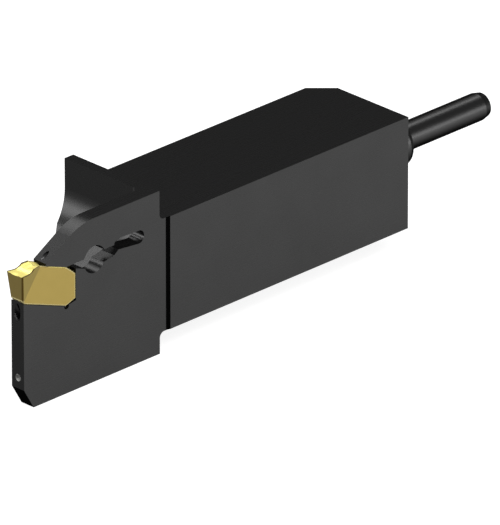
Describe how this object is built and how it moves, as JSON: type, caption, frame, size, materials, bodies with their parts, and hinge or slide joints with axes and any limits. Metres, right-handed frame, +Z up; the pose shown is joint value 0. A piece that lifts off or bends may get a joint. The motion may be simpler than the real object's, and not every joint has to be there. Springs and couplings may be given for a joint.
{
  "type": "parting blade holder",
  "caption": "Square shank parting holder: thin blade with spring jaw and wave slot, clamped gold insert, rear coolant tube with collar.",
  "frame": {"origin": "on the shank's bottom face at its rear end, mid-width of the shank", "axes": "+X toward the rear along the shank and coolant tube, the insert cuts toward -X; +Z up, away from the shank's seat; the blade is on the -Y side"},
  "size_m": [0.0922, 0.0162, 0.0231],
  "materials": {
    "blackened_steel": "black oxide, semi-gloss, over a milled surface",
    "coated_carbide": "gold nitride coating on fine ground carbide",
    "seal_rubber": "smooth black nitrile rubber",
    "bare_steel": "bright turned steel"
  },
  "bodies": {
    "root": {"holder_body": "blackened_steel", "cutting_insert": "coated_carbide", "coolant_tube": "blackened_steel", "tube_seal_ring": "seal_rubber", "channel_plugs": "bare_steel", "cross_plug_cup": "bare_steel", "cross_plug_ball": "bare_steel"}
  },
  "joints": []
}
